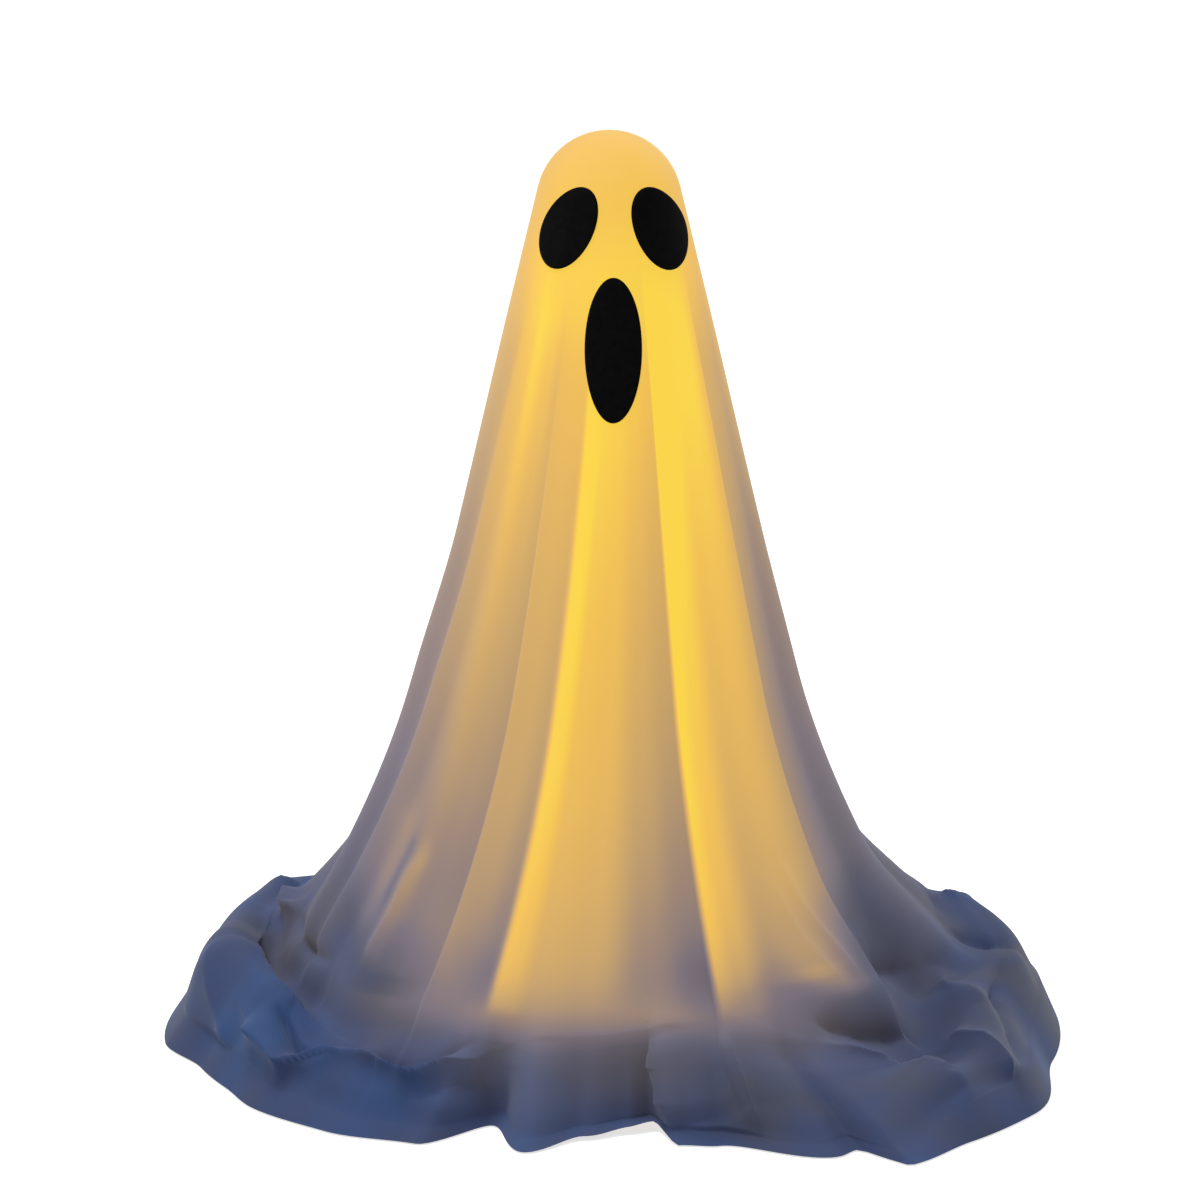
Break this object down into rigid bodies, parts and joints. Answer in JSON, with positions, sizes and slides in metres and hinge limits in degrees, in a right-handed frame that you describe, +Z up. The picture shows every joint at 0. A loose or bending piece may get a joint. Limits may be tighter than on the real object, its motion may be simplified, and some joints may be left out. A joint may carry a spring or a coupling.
{
  "type": "lighted ghost decoration",
  "caption": "Free-standing ghost of translucent cloth with black felt eyes and mouth, lit from inside by a battery lamp on a telescoping, folding stand.",
  "frame": {"origin": "on the floor under the pole, at the middle of the pad under the leg pivot", "axes": "+Z up along the pole; the face looks along -Y; +X to the right as the viewer sees the face"},
  "size_m": [1.0298, 0.9873, 1.05],
  "materials": {
    "sheet_voile": "translucent woven voile, lit from inside",
    "black_felt": "matt pressed felt",
    "cotton_tape": "woven cotton tape",
    "frosted_plastic": "frosted, satin",
    "white_plastic": "moulded, fine texture",
    "circuit_board": "solder mask",
    "warm_led": "yellow phosphor, lit",
    "zinc_steel": "zinc plated",
    "spring_wire": "drawn wire",
    "white_paint": "powder coat, satin",
    "grey_paint": "powder coat, fine texture",
    "black_rubber": "moulded, matt",
    "black_plastic": "moulded, fine texture",
    "orange_plastic": "moulded, satin",
    "natural_nylon": "moulded, satin",
    "cell_wrap": "printed film, bare of words",
    "lead_sleeve": "soft sleeve"
  },
  "bodies": {
    "stand": {"ghost_sheet": "sheet_voile", "left_eye_felt": "black_felt", "right_eye_felt": "black_felt", "mouth_felt": "black_felt", "hoop_tapes": "cotton_tape", "centre_pad": "black_rubber", "lower_leg": "grey_paint", "lower_leg_feet": "black_rubber", "pivot_bolt": "zinc_steel", "pivot_nut": "zinc_steel", "pivot_washer": "natural_nylon", "pole_socket": "grey_paint", "socket_screw": "black_plastic", "lower_pole": "white_paint", "clamp_collar": "black_plastic", "lever_pin": "zinc_steel"},
    "lamp_mast": {"upper_pole": "white_paint", "pole_bush": "natural_nylon", "lamp_plate": "white_plastic", "head_dome": "frosted_plastic", "dome_screws": "zinc_steel", "crown_board": "circuit_board", "crown_leds": "warm_led", "ring_board": "circuit_board", "ring_leds": "warm_led", "ring_lens": "frosted_plastic", "lens_screws": "zinc_steel", "lamp_lead": "lead_sleeve", "pole_clip": "black_plastic", "clip_screws": "zinc_steel", "battery_tray": "black_plastic", "battery_cells": "cell_wrap", "battery_contacts": "zinc_steel", "switch_body": "black_plastic"},
    "cover": {"battery_cover": "black_plastic"},
    "switch": {"switch_slider": "natural_nylon"},
    "lever": {"clamp_lever": "orange_plastic"},
    "swing_leg": {"upper_leg": "grey_paint", "upper_leg_feet": "black_rubber"},
    "shoulder_ring": {"shoulder_hoop": "spring_wire", "shoulder_ferrule": "spring_wire"},
    "middle_ring": {"middle_hoop": "spring_wire", "middle_ferrule": "spring_wire"},
    "lower_ring": {"lower_hoop": "spring_wire", "lower_ferrule": "spring_wire"}
  },
  "joints": [
    {"name": "pole_slide", "type": "slide", "parent": "stand", "child": "lamp_mast", "axis": [0, 0, 1], "range_m": [-0.3, 0], "deforming": ["ghost_sheet", "left_eye_felt", "right_eye_felt", "mouth_felt", "hoop_tapes"]},
    {"name": "shoulder_hoop_slide", "type": "slide", "parent": "stand", "child": "shoulder_ring", "axis": [0, 0, 1], "range_m": [-0.2176, 0]},
    {"name": "middle_hoop_slide", "type": "slide", "parent": "stand", "child": "middle_ring", "axis": [0, 0, 1], "range_m": [-0.1434, 0]},
    {"name": "lower_hoop_slide", "type": "slide", "parent": "stand", "child": "lower_ring", "axis": [0, 0, 1], "range_m": [-0.0691, 0]},
    {"name": "clamp_lever_hinge", "type": "hinge", "parent": "stand", "child": "lever", "pos_m": [0.025, 0, 0.451], "axis": [0, 0, 1], "range_deg": [0, 110]},
    {"name": "leg_fold", "type": "hinge", "parent": "stand", "child": "swing_leg", "pos_m": [0, 0, 0.013], "axis": [0, 0, 1], "range_deg": [0, 76]},
    {"name": "cover_slide", "type": "slide", "parent": "lamp_mast", "child": "cover", "axis": [0, 0, -1], "range_m": [0, 0.066]},
    {"name": "switch_travel", "type": "slide", "parent": "lamp_mast", "child": "switch", "axis": [0, 0, 1], "range_m": [0, 0.004]}
  ],
  "couplings": [
    {"joint": "shoulder_hoop_slide", "follows": "pole_slide", "ratio": 0.72381},
    {"joint": "middle_hoop_slide", "follows": "pole_slide", "ratio": 0.47619},
    {"joint": "lower_hoop_slide", "follows": "pole_slide", "ratio": 0.22857}
  ]
}
